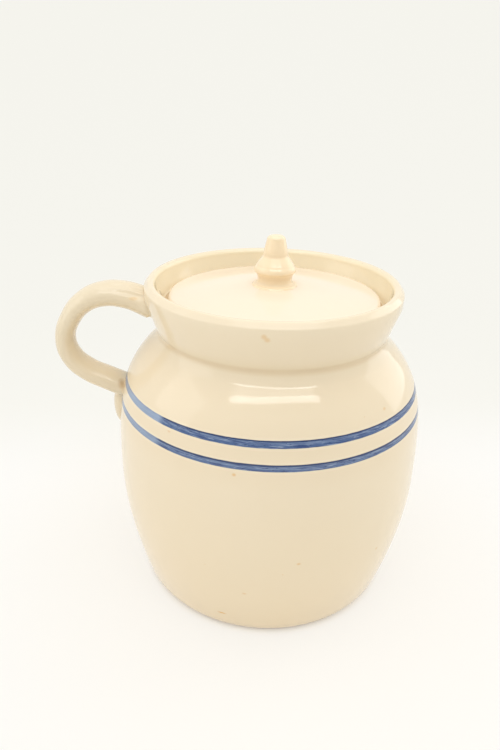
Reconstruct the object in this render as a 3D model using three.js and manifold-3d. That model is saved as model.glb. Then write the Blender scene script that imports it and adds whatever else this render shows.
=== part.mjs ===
// A lidded stoneware crock: a round-bellied thrown pot with a flared collar, one pulled handle, two
// blue slip bands and a lid that drops into the collar and is lifted by a turned knob.
// Millimetres, +Z up. The origin is the centre of the flat foot, and the handle points along -X.
// Points of an outline are (radius, height).

import * as THREE from "three";
import { mergeVertices } from "three/addons/utils/BufferGeometryUtils.js";
import Module from "manifold-3d";

const wasm = await Module();
wasm.setup();

// Fineness of the turned and swept surfaces
const ROUND_SEGMENTS = 56;
const KNOB_SEGMENTS = 32;
const WALL_STEPS = 7;
const CORNER_STEPS = 3;
const SMEAR_SEGMENTS = [20, 14];

// Gap left between clay pieces that touch
const GAP = 0.3;

// Pot: the outer wall, three smooth curves that meet at the belly and at the steepest place of
// the shoulder, each with its two handles
const FOOT_RADIUS = 66;
const FOOT_CURVE = [71.5, 0.6];
const HEEL_RADIUS = 72.5;
const HEEL_HEIGHT = 4.4;
const LOWER_WALL_CURVE = [83.2, 44, 82.5, 65];
const BELLY_RADIUS = 82.5;
const BELLY_HEIGHT = 73;
const SHOULDER_CURVE = [82.5, 113.6, 76.9, 123.9];
const SHOULDER_RADIUS = 65.3;
const SHOULDER_HEIGHT = 136.7;
const NECK_CURVE = [62, 140.2, 61.7, 140.5];
const NECK_RADIUS = 59.3;
const NECK_HEIGHT = 144.9;

// Pot: the collar, its rolled lip and the ledge that carries the lid
const COLLAR_CURVE = [61.4, 148.6];
const COLLAR_RADIUS = 62.7;
const COLLAR_HEIGHT = 153.7;
const LIP_CENTRE_RADIUS = 62.4;
const LIP_CENTRE_HEIGHT = 167.1;
const LIP_ROUNDING = 3.3;
const LEDGE_HEIGHT = 157.7;
const SEAT_RADIUS = 56.4;
const THROAT_RADIUS = 50.5;
const THROAT_THICKNESS = 3;
const EDGE_BEVEL = 1;

// Pot: the clay's thickness
const WALL_THICKNESS = 6;
const FLOOR_THICKNESS = 8;
const FLOOR_CORNER = 12;
const FLOOR_CORNER_LEAN = 2;

// Slip bands, by their lower edges
const BAND_WIDTH = 3.2;
const UPPER_BAND_HEIGHT = 117;
const LOWER_BAND_HEIGHT = 106.7;
const BAND_THICKNESS = 0.5;
const GROOVE_CUTTER_PROUD = 1;

// Lid, with heights from its underside, which rests on the ledge
const LID_RADIUS = 54.4;
const LID_EDGE_HEIGHT = 4.5;
const LID_EDGE_ROUNDING = 1.5;
const LID_RIM_WIDTH = 8;
const LID_THICKNESS = 5;
const LID_UNDERSIDE_FALL = 1.4;
const LID_CROWN = 9;
const LID_CROWN_FLAT = 10.6;
const LID_OFF_CENTRE = 0.5;

// Knob, with heights from its foot, which stands on the lid's crown
const KNOB_FOOT_RADIUS = 9.6;
const KNOB_FOOT_HEIGHT = 1.2;
const KNOB_NECK_RADIUS = 8.3;
const KNOB_NECK_HEIGHT = 3.4;
const KNOB_FLANGE_RADIUS = 10.7;
const KNOB_FLANGE_HEIGHT = 8.2;
const KNOB_FLANGE_ROUNDING = 1;
const KNOB_DOME = [9.7, 12.2];
const KNOB_DOME_RADIUS = 7.3;
const KNOB_DOME_HEIGHT = 13.9;
const KNOB_WAIST_RADIUS = 6.1;
const KNOB_WAIST_HEIGHT = 14.6;
const KNOB_CREASE = 1;
const KNOB_TOP_RADIUS = 4.4;
const KNOB_TOP_ROUNDING = 2;
const KNOB_HEIGHT = 25;

// Handle: the middle of the strap in the plane of the handle, from the collar round to the shoulder,
// as distance from the pot's axis, height, and the strap's thickness there
const HANDLE_LINE = [
  [56, 154.5, 14],
  [66, 158.6, 13.8],
  [76, 161.9, 13.4],
  [86, 162.2, 12.4],
  [95.5, 158.5, 11.2],
  [103.4, 149.8, 10.4],
  [107.3, 138.6, 10],
  [104.6, 128.2, 10.2],
  [97, 120.6, 10.8],
  [88, 115.9, 11.4],
  [79, 111.6, 11.8],
  [70, 107.4, 12],
];
const HANDLE_STEPS = 34;
const HANDLE_SIDES = 20;
const STRAP_WIDTH = 18;

// Clay smeared over the pot where the strap is joined on: half-lengths of each rounded pad
const ROOT_PAD = { centre: [-61, 0, 157], size: [4.6, 13, 8.4] };
const TAIL_PAD = { centre: [-80.2, 0, 100], size: [5.8, 8.6, 12] };

const creamGlaze = () =>
  new THREE.MeshStandardMaterial({ color: 0xead9bb, roughness: 0.18, metalness: 0 });
const warmGlaze = () =>
  new THREE.MeshStandardMaterial({ color: 0xf2deb9, roughness: 0.16, metalness: 0 });
const blueSlip = () =>
  new THREE.MeshStandardMaterial({ color: 0x5f7fb0, roughness: 0.2, metalness: 0 });

// A closed solid turned about the pot's axis
function turned(outline, segments = ROUND_SEGMENTS) {
  return new THREE.LatheGeometry(outline, segments).rotateX(Math.PI / 2);
}

function toSolid(geometry) {
  const bare = geometry.clone();
  bare.deleteAttribute("normal");
  bare.deleteAttribute("uv");
  const merged = mergeVertices(bare, 1e-4);
  return new wasm.Manifold(
    new wasm.Mesh({
      numProp: 3,
      vertProperties: merged.attributes.position.array,
      triVerts: new Uint32Array(merged.index.array),
    }),
  );
}

function toGeometry(solid) {
  const mesh = solid.getMesh();
  const geometry = new THREE.BufferGeometry();
  geometry.setAttribute("position", new THREE.BufferAttribute(mesh.vertProperties, 3));
  geometry.setIndex(new THREE.BufferAttribute(mesh.triVerts, 1));
  geometry.computeVertexNormals();
  return geometry;
}

function named(name, geometry, material) {
  const mesh = new THREE.Mesh(geometry, material);
  mesh.name = name;
  return mesh;
}

// The rounded edge of the foot, from the flat base up to the heel
function footEdge() {
  const edge = new THREE.Path();
  edge.moveTo(FOOT_RADIUS, 0);
  edge.quadraticCurveTo(...FOOT_CURVE, HEEL_RADIUS, HEEL_HEIGHT);
  return edge.getPoints(CORNER_STEPS);
}

// The outer wall from the heel up to the neck
function outerWall() {
  const wall = new THREE.Path();
  wall.moveTo(HEEL_RADIUS, HEEL_HEIGHT);
  wall.bezierCurveTo(...LOWER_WALL_CURVE, BELLY_RADIUS, BELLY_HEIGHT);
  wall.bezierCurveTo(...SHOULDER_CURVE, SHOULDER_RADIUS, SHOULDER_HEIGHT);
  wall.bezierCurveTo(...NECK_CURVE, NECK_RADIUS, NECK_HEIGHT);
  return wall.getPoints(WALL_STEPS);
}

function wallRadiusAt(height) {
  const wall = outerWall();
  const above = wall.findIndex((point) => point.y >= height);
  const [low, high] = [wall[above - 1], wall[above]];
  return THREE.MathUtils.mapLinear(height, low.y, high.y, low.x, high.x);
}

// The same wall moved into the clay by its thickness, square to its surface
function innerWall() {
  const wall = outerWall();
  const inner = wall.map((point, i) => {
    const before = wall[Math.max(i - 1, 0)];
    const after = wall[Math.min(i + 1, wall.length - 1)];
    const along = after.clone().sub(before).normalize();
    return new THREE.Vector2(
      point.x - along.y * WALL_THICKNESS,
      point.y + along.x * WALL_THICKNESS,
    );
  });
  return inner.filter((point) => point.y > FLOOR_THICKNESS + FLOOR_CORNER);
}

function collarOutside() {
  const collar = new THREE.Path();
  collar.moveTo(NECK_RADIUS, NECK_HEIGHT);
  collar.quadraticCurveTo(...COLLAR_CURVE, COLLAR_RADIUS, COLLAR_HEIGHT);
  collar.lineTo(LIP_CENTRE_RADIUS + LIP_ROUNDING, LIP_CENTRE_HEIGHT);
  return collar.getPoints(CORNER_STEPS);
}

// Over the rolled lip, down inside the collar and across the ledge to the throat
function lipAndLedge() {
  const lip = new THREE.Path();
  lip.absarc(LIP_CENTRE_RADIUS, LIP_CENTRE_HEIGHT, LIP_ROUNDING, 0, Math.PI);
  lip.lineTo(SEAT_RADIUS, LEDGE_HEIGHT);
  lip.lineTo(THROAT_RADIUS + EDGE_BEVEL, LEDGE_HEIGHT);
  lip.lineTo(THROAT_RADIUS, LEDGE_HEIGHT - EDGE_BEVEL);
  lip.lineTo(THROAT_RADIUS, LEDGE_HEIGHT - THROAT_THICKNESS);
  return lip.getPoints(CORNER_STEPS);
}

// The rounding between the inside of the wall and the floor
function floorCorner(wallFoot) {
  const bend = [wallFoot.x - FLOOR_CORNER_LEAN, FLOOR_THICKNESS];
  const corner = new THREE.Path();
  corner.moveTo(wallFoot.x, wallFoot.y);
  corner.quadraticCurveTo(...bend, wallFoot.x - FLOOR_CORNER, FLOOR_THICKNESS);
  return corner.getPoints(CORNER_STEPS);
}

function potOutline() {
  const inner = innerWall();
  return [
    new THREE.Vector2(0, 0),
    ...footEdge(),
    ...outerWall().slice(1),
    ...collarOutside().slice(1),
    ...lipAndLedge().slice(1),
    ...inner.slice().reverse(),
    ...floorCorner(inner[0]).slice(1),
    new THREE.Vector2(0, FLOOR_THICKNESS),
  ];
}

// A ring that follows the wall's face between two heights, from one depth under it to another
// (a negative depth stands proud of the wall)
function wallRing(low, high, inside, outside) {
  const corner = (height, depth) => new THREE.Vector2(wallRadiusAt(height) - depth, height);
  return turned([
    corner(low, inside),
    corner(low, outside),
    corner(high, outside),
    corner(high, inside),
    corner(low, inside),
  ]);
}

// The shallow groove under a slip band
function grooveFor(height) {
  return toSolid(
    wallRing(
      height - GAP,
      height + BAND_WIDTH + GAP,
      BAND_THICKNESS + GAP,
      -GROOVE_CUTTER_PROUD,
    ),
  );
}

function crockBody() {
  const body = toSolid(turned(potOutline()))
    .subtract(grooveFor(UPPER_BAND_HEIGHT))
    .subtract(grooveFor(LOWER_BAND_HEIGHT));
  return named("crock_body", toGeometry(body), creamGlaze());
}

function blueBand(name, height) {
  const ring = wallRing(height, height + BAND_WIDTH, BAND_THICKNESS, 0);
  return named(name, ring, blueSlip());
}

// The space that the pot takes up, with the usual gap, to trim the handle's ends against
function potEnvelope() {
  const grown = [...outerWall(), ...collarOutside().slice(1)].map(
    (point) => new THREE.Vector2(point.x + GAP, point.y),
  );
  const top = LIP_CENTRE_HEIGHT + LIP_ROUNDING;
  return toSolid(
    turned([
      new THREE.Vector2(0, 0),
      new THREE.Vector2(grown[0].x, 0),
      ...grown,
      new THREE.Vector2(grown.at(-1).x, top),
      new THREE.Vector2(0, top),
    ]),
  );
}

// The pulled strap: an oval swept round the handle's line, thinned as the clay was pulled
function strap() {
  const line = new THREE.CatmullRomCurve3(
    HANDLE_LINE.map(([distance, height]) => new THREE.Vector3(-distance, 0, height)),
    false,
    "centripetal",
  );
  const thickest = Math.max(...HANDLE_LINE.map(([, , thickness]) => thickness));
  const oval = new THREE.EllipseCurve(0, 0, STRAP_WIDTH / 2, thickest / 2);
  const section = new THREE.Shape(oval.getPoints(HANDLE_SIDES));
  const swept = new THREE.ExtrudeGeometry(section, {
    steps: HANDLE_STEPS,
    bevelEnabled: false,
    extrudePath: line,
  });
  return thinned(swept, line, thickest);
}

// Draws each point of the strap in towards its line, to the thickness that the line gives there
function thinned(geometry, line, thickest) {
  const middles = line.getSpacedPoints(HANDLE_STEPS);
  const place = geometry.getAttribute("position");
  const point = new THREE.Vector3();
  for (let i = 0; i < place.count; i += 1) {
    point.fromBufferAttribute(place, i);
    const flat = new THREE.Vector3(point.x, 0, point.z);
    const gaps = middles.map((middle) => middle.distanceTo(flat));
    const step = gaps.indexOf(Math.min(...gaps));
    const along = line.getUtoTmapping(step / HANDLE_STEPS) * (HANDLE_LINE.length - 1);
    const before = Math.min(Math.floor(along), HANDLE_LINE.length - 2);
    const thickness = THREE.MathUtils.lerp(
      HANDLE_LINE[before][2],
      HANDLE_LINE[before + 1][2],
      along - before,
    );
    flat.lerp(middles[step], 1 - thickness / thickest);
    place.setXYZ(i, flat.x, point.y, flat.z);
  }
  return geometry;
}

function claySmear({ centre, size }) {
  const smear = new THREE.SphereGeometry(1, ...SMEAR_SEGMENTS);
  smear.scale(...size);
  smear.translate(...centre);
  return toSolid(smear);
}

function handle() {
  const solid = toSolid(strap())
    .add(claySmear(ROOT_PAD))
    .add(claySmear(TAIL_PAD))
    .subtract(potEnvelope());
  return named("handle", toGeometry(solid), creamGlaze());
}

function lidPlate() {
  const shoulder = LID_RADIUS - LID_EDGE_ROUNDING;
  const underside = LID_CROWN - LID_THICKNESS;
  const top = new THREE.Path();
  top.moveTo(LID_RADIUS, LID_EDGE_HEIGHT - LID_EDGE_ROUNDING);
  top.quadraticCurveTo(LID_RADIUS, LID_EDGE_HEIGHT, shoulder, LID_EDGE_HEIGHT);
  top.quadraticCurveTo(LID_RADIUS / 2, LID_CROWN, LID_CROWN_FLAT, LID_CROWN);
  const outline = [
    new THREE.Vector2(0, underside),
    new THREE.Vector2(LID_RADIUS / 2, underside - LID_UNDERSIDE_FALL),
    new THREE.Vector2(LID_RADIUS - LID_RIM_WIDTH, 0),
    new THREE.Vector2(LID_RADIUS - EDGE_BEVEL, 0),
    new THREE.Vector2(LID_RADIUS, EDGE_BEVEL),
    ...top.getPoints(CORNER_STEPS * 2),
    new THREE.Vector2(0, LID_CROWN),
  ];
  return named("lid", turned(outline), warmGlaze());
}

// From the foot up: undercut neck, domed flange with a rounded edge, and a nub above a crease
function lidKnob() {
  const flangeCentre = KNOB_FLANGE_RADIUS - KNOB_FLANGE_ROUNDING;
  const nubSide = KNOB_HEIGHT - KNOB_TOP_ROUNDING;
  const knob = new THREE.Path();
  knob.moveTo(0, 0);
  knob.lineTo(KNOB_FOOT_RADIUS, 0);
  knob.quadraticCurveTo(KNOB_NECK_RADIUS, KNOB_FOOT_HEIGHT, KNOB_NECK_RADIUS, KNOB_NECK_HEIGHT);
  knob.absarc(
    flangeCentre,
    KNOB_FLANGE_HEIGHT,
    KNOB_FLANGE_ROUNDING,
    -Math.PI / 4,
    Math.PI / 4,
  );
  knob.quadraticCurveTo(...KNOB_DOME, KNOB_DOME_RADIUS, KNOB_DOME_HEIGHT);
  knob.quadraticCurveTo(
    KNOB_WAIST_RADIUS,
    KNOB_WAIST_HEIGHT,
    KNOB_WAIST_RADIUS,
    KNOB_WAIST_HEIGHT + KNOB_CREASE,
  );
  knob.lineTo(KNOB_TOP_RADIUS, nubSide);
  knob.quadraticCurveTo(KNOB_TOP_RADIUS, KNOB_HEIGHT, 0, KNOB_HEIGHT);
  return named("lid_knob", turned(knob.getPoints(CORNER_STEPS), KNOB_SEGMENTS), warmGlaze());
}

function lidWithKnob() {
  const group = new THREE.Group();
  const plate = lidPlate();
  const knob = lidKnob();
  knob.position.z = LID_CROWN + GAP;
  group.add(plate, knob);
  group.position.set(LID_OFF_CENTRE, 0, LEDGE_HEIGHT + GAP);
  return group;
}

const crock = new THREE.Group();
crock.add(
  crockBody(),
  blueBand("upper_blue_band", UPPER_BAND_HEIGHT),
  blueBand("lower_blue_band", LOWER_BAND_HEIGHT),
  handle(),
  lidWithKnob(),
);

export default crock;
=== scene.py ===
"""A lidded stoneware crock with a pulled handle and two blue slip bands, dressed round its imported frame.

Metres, +Z up. The foot stands on z = 0, and the handle points along -X.
Outlines are lists of (radius, height) points, turned about the crock's axis as on a wheel.
"""

import math

import bpy
from bpy.props import FloatProperty, FloatVectorProperty, PointerProperty
from mathutils import Matrix, Vector
from mathutils.geometry import interpolate_bezier


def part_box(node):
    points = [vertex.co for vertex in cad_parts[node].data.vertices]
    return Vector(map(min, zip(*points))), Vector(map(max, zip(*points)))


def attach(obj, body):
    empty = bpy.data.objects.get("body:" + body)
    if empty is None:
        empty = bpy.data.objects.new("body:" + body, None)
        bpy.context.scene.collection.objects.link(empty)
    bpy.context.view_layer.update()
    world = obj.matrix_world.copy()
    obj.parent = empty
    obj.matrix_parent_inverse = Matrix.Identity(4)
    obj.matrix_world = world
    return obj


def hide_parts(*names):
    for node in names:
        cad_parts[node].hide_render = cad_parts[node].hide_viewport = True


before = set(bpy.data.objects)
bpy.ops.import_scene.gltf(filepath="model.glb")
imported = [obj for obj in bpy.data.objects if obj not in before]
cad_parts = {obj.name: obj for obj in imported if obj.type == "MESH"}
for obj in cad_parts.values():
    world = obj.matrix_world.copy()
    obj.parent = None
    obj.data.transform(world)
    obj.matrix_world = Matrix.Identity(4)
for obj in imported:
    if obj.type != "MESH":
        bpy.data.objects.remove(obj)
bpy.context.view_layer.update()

bl_info = {
    "name": "Stoneware Crock",
    "version": (1, 0, 0),
    "blender": (4, 5, 0),
    "location": "View3D > Sidebar > Crock",
    "description": "Throws, handles and glazes a lidded stoneware crock",
    "category": "Add Mesh",
}

MM = 0.001

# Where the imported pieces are: the fitted sizes are worked out from these
POT_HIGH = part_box("crock_body")[1]
LID_LOW, LID_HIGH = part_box("lid")
KNOB_LOW, KNOB_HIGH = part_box("lid_knob")
UPPER_BAND_LOW, UPPER_BAND_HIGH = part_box("upper_blue_band")
LOWER_BAND_LOW, LOWER_BAND_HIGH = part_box("lower_blue_band")

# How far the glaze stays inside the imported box
CLEARANCE = 0.05 * MM

# Fineness of the turned meshes: turns round the axis, and lengths along the outline
POT_TURNS = 192
LID_TURNS = 144
KNOB_TURNS = 96
WALL_GRAIN = 1.8 * MM
LID_GRAIN = 1.4 * MM
KNOB_GRAIN = 0.2 * MM

# Length of a Bezier handle that draws a quarter circle of radius 1, and the points in a soft corner
ROUND_BEND = 0.5523
CORNER_POINTS = 7

# How far the rounding between the floor and the wall reaches, inside the pot
FLOOR_CORNER = 12 * MM

# Inputs of a Mix node that mixes colours, and its output and setting
SHARE, FIRST, SECOND = 0, 6, 7
COLOURS = {"output": 2, "data_type": "RGBA"}

# Setting of a Map Range node that eases in and out
EASED = {"interpolation_type": "SMOOTHSTEP"}


def linear(code):
    """An sRGB hex code as the linear colour that shaders work in."""
    values = [int(code[i : i + 2], 16) / 255 for i in (1, 3, 5)]
    return tuple(v / 12.92 if v <= 0.04045 else ((v + 0.055) / 1.055) ** 2.4 for v in values)


def length(name, size, description):
    """A length that a user can change, given in millimetres."""
    return FloatProperty(name=name, description=description, default=size * MM, unit="LENGTH", precision=4)


def colour(name, code, description):
    """A colour that a user can change, given as an sRGB hex code."""
    return FloatVectorProperty(
        name=name, description=description, default=linear(code), subtype="COLOR", min=0, max=1
    )


class PotShape(bpy.types.PropertyGroup):
    """Sizes of the thrown pot"""

    foot_radius: length("Foot radius", 66, "Radius of the flat foot")
    foot_recess: length("Foot recess", 0.8, "Depth of the hollow trimmed under the foot")
    heel_radius: length("Heel radius", 71.8, "Radius where the foot's rounding ends")
    heel_height: length("Heel height", 5, "Height where the foot's rounding ends")
    belly_height: length("Belly height", 73, "Height of the widest place")
    neck_radius: length("Neck radius", 59.3, "Radius of the groove under the collar")
    neck_height: length("Neck height", 144.9, "Height of the groove under the collar")
    collar_radius: length("Collar radius", 62.7, "Radius of the collar where it straightens")
    collar_height: length("Collar height", 153.7, "Height where the collar straightens")
    lip_radius: length("Lip radius", 62.8, "Radius to the middle of the rolled lip")
    lip_rounding: length("Lip rounding", 2.9, "Half the thickness of the rolled lip")
    lip_lean: FloatProperty(
        name="Lip lean",
        description="How far the lip dips towards the front, as a lip finished by hand does",
        default=math.radians(0.6),
        subtype="ANGLE",
    )
    ledge_height: length("Ledge height", 157.7, "Height of the ledge that carries the lid")
    seat_radius: length("Seat radius", 56.4, "Radius of the ledge's outer edge")
    throat_radius: length("Throat radius", 50.5, "Radius of the mouth inside the ledge")
    ledge_thickness: length("Ledge thickness", 3.4, "Thickness of the ledge at its edge")
    wall_thickness: length("Wall thickness", 6, "Thickness of the thrown wall")
    floor_thickness: length("Floor thickness", 8, "Thickness of the clay under the inside")


class HandleShape(bpy.types.PropertyGroup):
    """Sizes of the pulled strap"""

    strap_width: length("Strap width", 18, "Width of the strap across the handle")
    pull_depth: length("Pull mark depth", 1.1, "Depth of the two marks that the pulling fingers left")


class LidShape(bpy.types.PropertyGroup):
    """Sizes of the lid and its knob"""

    edge_height: length("Edge height", 4.5, "Height of the lid's rounded edge")
    rim_width: length("Rim width", 8, "Width of the flat rim that rests on the ledge")
    thickness: length("Lid thickness", 5, "Thickness of the lid in the middle")
    foot_radius: length("Knob foot radius", 12.6, "Radius where the knob's foot runs out on the lid")
    neck_radius: length("Knob neck radius", 8.7, "Radius of the undercut below the flange")
    flange_radius: length("Flange radius", 10.6, "Radius of the knob's flange")
    nub_radius: length("Nub radius", 6.1, "Radius of the nub at its crease")
    top_radius: length("Top radius", 4.75, "Radius of the nub near its top")


class Glazes(bpy.types.PropertyGroup):
    """Colours of the clay, the glaze and the slip"""

    body: colour("Body glaze", "#EFE0C4", "Cream clay under clear glaze")
    # Handle glaze: the body's clay made a little darker as painted shade, for the less light on the strap's
    # sides
    handle: colour("Handle glaze", "#E9DABD", "The body's clay where it was pulled, a little darker")
    lid: colour("Lid glaze", "#F6E5CE", "Paler cream of the lid")
    knob: colour("Knob glaze", "#FBE7C4", "Warmer cream of the knob")
    # The tan of thick glaze, also used as painted shade in the neck's groove, the knob's undercut and
    # crease, and round the knob's foot
    pooled_glaze_and_shade: colour("Pooled glaze", "#D9BD8F", "Where the glaze lies thick in a groove")
    slip: colour("Blue slip", "#4E6792", "Main blue of the bands")
    slip_thick: colour("Thick slip", "#35487A", "Where the brush left more slip")
    slip_edge: colour("Slip edge", "#273862", "Where the slip was pushed up along a band's upper edge")
    slip_thin: colour("Thin slip", "#A0B1C9", "Where the slip is thin or worn")
    iron: colour("Iron speck", "#E2B25E", "Tan of the iron specks in the clay")
    # Crevice colour: tan bare clay, darkened as painted shade in the crevice
    crevice_clay_and_shade: colour("Crevice", "#B08A52", "Bare clay in the crevice at the foot of the handle")
    bare: colour("Bare clay", "#D9C09A", "Unglazed clay of the foot, the ledge and the lid's rim")


def nothing_selected():
    """Leaves edit mode and selects nothing, so that the next operator acts on its own piece alone."""
    if bpy.context.object and bpy.context.object.mode != "OBJECT":
        bpy.ops.object.mode_set(mode="OBJECT")
    bpy.ops.object.select_all(action="DESELECT")


def take_up(piece):
    """Makes a piece the only one that the next operator acts on."""
    nothing_selected()
    piece.select_set(True)
    bpy.context.view_layer.objects.active = piece


def added(name, add, place=(0, 0, 0), **settings):
    """Adds an object at a place with nothing else selected, and names it."""
    nothing_selected()
    add(location=place, **settings)
    bpy.context.object.name = name
    return bpy.context.object


def select_where(piece, kind, test):
    """Selects, in edit mode, those of a piece's vertices, edges or faces that pass the test."""
    take_up(piece)
    bpy.ops.object.mode_set(mode="EDIT")
    bpy.ops.mesh.select_mode(type=kind)
    bpy.ops.mesh.select_all(action="DESELECT")
    bpy.ops.object.mode_set(mode="OBJECT")
    kinds = {"VERT": piece.data.vertices, "EDGE": piece.data.edges, "FACE": piece.data.polygons}
    for part in kinds[kind]:
        part.select = test(part)
    bpy.ops.object.mode_set(mode="EDIT")


def apply_modifier(piece, kind, **settings):
    """Adds a modifier with its settings and applies it."""
    take_up(piece)
    modifier = piece.modifiers.new(kind.title(), kind)
    for name, value in settings.items():
        setattr(modifier, name, value)
    bpy.ops.object.modifier_apply(modifier=modifier.name)


def finish_surface(piece, angle=40):
    """Smooth shading, except across edges sharper than the angle, in degrees."""
    take_up(piece)
    bpy.ops.object.shade_smooth_by_angle(angle=math.radians(angle))


def step(out, up):
    """A place or a step in an outline: how far out from the axis and up, in millimetres."""
    return Vector((out, up)) * MM


def drawn(start, *strokes, grain=WALL_GRAIN):
    """An outline: one point is a straight line to it, three are a Bezier curve, and a list is followed."""
    fewest_points = 6
    outline = [Vector(start)]
    for stroke in strokes:
        if isinstance(stroke, list):
            outline += stroke
        elif len(stroke) == 3:
            corners = [outline[-1], *(Vector(point) for point in stroke)]
            reach = sum((b - a).length for a, b in zip(corners, corners[1:]))
            outline += interpolate_bezier(*corners, max(fewest_points, round(reach / grain)))[1:]
        else:
            outline.append(Vector(stroke))
    return outline


def rounded(before, corner, after, reach):
    """A list of points that turns a corner softly, from reach before it to reach after it."""
    before, corner, after = Vector(before), Vector(corner), Vector(after)
    start = corner + (before - corner).normalized() * reach
    end = corner + (after - corner).normalized() * reach
    bends = (start.lerp(corner, ROUND_BEND), end.lerp(corner, ROUND_BEND))
    return interpolate_bezier(start, *bends, end, CORNER_POINTS)


def throw(name, outline, turns):
    """Turns an outline that starts and ends on the axis into a closed solid, as on a wheel."""
    piece = added(name, bpy.ops.mesh.primitive_plane_add, size=MM)
    bpy.ops.object.mode_set(mode="EDIT")
    bpy.ops.mesh.select_mode(type="VERT")
    bpy.ops.mesh.merge(type="CENTER")
    places = [Vector((radius, 0, height)) for radius, height in outline]
    bpy.ops.transform.translate(value=places[0])
    for before, after in zip(places, places[1:]):
        bpy.ops.mesh.extrude_region_move(TRANSFORM_OT_translate={"value": after - before})
    bpy.ops.mesh.select_all(action="SELECT")
    bpy.ops.mesh.spin(steps=turns, angle=2 * math.pi, center=(0, 0, 0), axis=(0, 0, 1), use_auto_merge=True)
    bpy.ops.mesh.select_all(action="SELECT")
    bpy.ops.mesh.remove_doubles(threshold=0.01 * MM)
    bpy.ops.mesh.normals_make_consistent(inside=False)
    bpy.ops.object.mode_set(mode="OBJECT")
    return piece


def let_wander(piece, depth, spread, above):
    """Lets a turned piece wander a little from true above a height, inwards only, as fired clay does."""
    soft = piece.vertex_groups.new(name="soft")
    soft.add([vertex.index for vertex in piece.data.vertices if vertex.co.z > above], 1.0, "REPLACE")
    clouds = bpy.data.textures.new(piece.name + "_wander", "CLOUDS")
    clouds.noise_scale = spread
    apply_modifier(
        piece,
        "DISPLACE",
        texture=clouds,
        texture_coords="LOCAL",
        strength=depth,
        mid_level=1.0,
        vertex_group=soft.name,
    )
    piece.vertex_groups.clear()


def outer_wall(pot):
    """The wall from the heel, over the belly and the shoulder, to the bottom of the neck's groove."""
    belly = Vector((POT_HIGH.y - CLEARANCE, pot.belly_height))
    steepest = step(65.3, 136.7)
    bend = step(62.1, 140.05)
    neck = Vector((pot.neck_radius, pot.neck_height))
    return drawn(
        (pot.heel_radius, pot.heel_height),
        (step(83.2, 44), belly - step(0, 8), belly),
        (belly + step(0, 40.6), steepest + step(11.6, -12.8), steepest),
        rounded(steepest, bend, neck, 2.3 * MM),
        neck,
    )


def inner_wall(pot):
    """The outer wall moved into the clay, with the rings that the potter's fingers leave inside."""
    ring_spacing = 8.5 * MM
    ring_depth = 0.22 * MM
    inner = []
    wall = outer_wall(pot)
    for before, point, after in zip(wall, wall[1:], wall[2:]):
        along = (after - before).normalized()
        ring = ring_depth * math.sin(2 * math.pi * point.y / ring_spacing)
        inner.append(point + Vector((-along.y, along.x)) * (pot.wall_thickness + ring))
    return [point for point in inner if point.y > pot.floor_thickness + FLOOR_CORNER]


def pot_outline(pot):
    """From the middle of the foot up the outside, over the lip, and down the inside to the floor."""
    trimmed = 57 * MM
    trimmed_edge = 2 * MM
    floor_rise = 0.4 * MM
    wall = outer_wall(pot)
    inner = inner_wall(pot)
    heel, neck = wall[0], wall[-1]
    above_neck = neck + step(1.7, 3.1)
    collar = Vector((pot.collar_radius, pot.collar_height))
    lip = Vector((pot.lip_radius, POT_HIGH.z - CLEARANCE - pot.lip_rounding))
    seat = Vector((pot.seat_radius, pot.ledge_height))
    ledge = Vector((pot.throat_radius, pot.ledge_height))
    throat = ledge - Vector((0, pot.ledge_thickness))
    floor_edge = Vector((inner[0].x - FLOOR_CORNER, pot.floor_thickness))

    def on_lip(out, up):
        """A point of the lip: how far out and up from its middle, in half thicknesses."""
        return lip + Vector((out, up)) * pot.lip_rounding

    return drawn(
        (0, pot.foot_recess),
        (trimmed - trimmed_edge, pot.foot_recess),
        (trimmed, 0),
        (pot.foot_radius, 0),
        ((pot.foot_radius + 2 * MM, 0), heel - step(1.7, 3.5), heel),
        wall[1:-1],
        rounded(wall[-2], neck, above_neck, 1.1 * MM),
        (neck + step(1.6, 3), collar - step(0.8, 3), collar),
        on_lip(1, -1.7),
        on_lip(1, -0.25),
        (on_lip(1, 0), on_lip(0.94, 0.13), on_lip(0.82, 0.24)),
        (on_lip(0.5, 0.56), on_lip(0.3, 1), on_lip(-0.05, 1)),
        (on_lip(-0.4, 1), on_lip(-0.74, 0.8), on_lip(-0.9, 0.45)),
        (on_lip(-0.97, 0.3), on_lip(-1, 0.15), on_lip(-1, -0.1)),
        rounded(on_lip(-1, -0.1), seat, ledge, 1.6 * MM),
        rounded(seat, ledge, throat, 1.2 * MM),
        rounded(ledge, throat, inner[-1], 1.2 * MM),
        list(reversed(inner)),
        (inner[0] - step(1.5, 7), floor_edge + step(5, 0), floor_edge),
        (0, pot.floor_thickness + floor_rise),
    )


def lean_lip(piece, pot):
    """Dips the lip a little towards the front, fading out down the collar before the ledge."""
    lip_bottom = POT_HIGH.z - 7.5 * MM
    fade = 5.5 * MM
    select_where(piece, "VERT", lambda vertex: vertex.co.z > lip_bottom)
    bpy.ops.transform.rotate(
        value=-pot.lip_lean,
        orient_axis="X",
        orient_type="GLOBAL",
        center_override=(0, 0, lip_bottom),
        use_proportional_edit=True,
        proportional_size=fade,
    )
    bpy.ops.object.mode_set(mode="OBJECT")


class CROCK_OT_throw_pot(bpy.types.Operator):
    """Throws the pot: foot, belly, shoulder, collar, lip, ledge and inside"""

    bl_idname = "crock.throw_pot"
    bl_label = "Throw Pot"
    bl_options = {"REGISTER", "UNDO"}

    def execute(self, context):
        pot = context.scene.crock_pot
        piece = throw("thrown_pot", pot_outline(pot), POT_TURNS)
        let_wander(piece, depth=0.14 * MM, spread=34 * MM, above=3 * MM)
        lean_lip(piece, pot)
        finish_surface(piece)
        piece.data.materials.append(glazed_pot(context.scene))
        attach(piece, "crock")
        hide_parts("crock_body")
        return {"FINISHED"}


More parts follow.
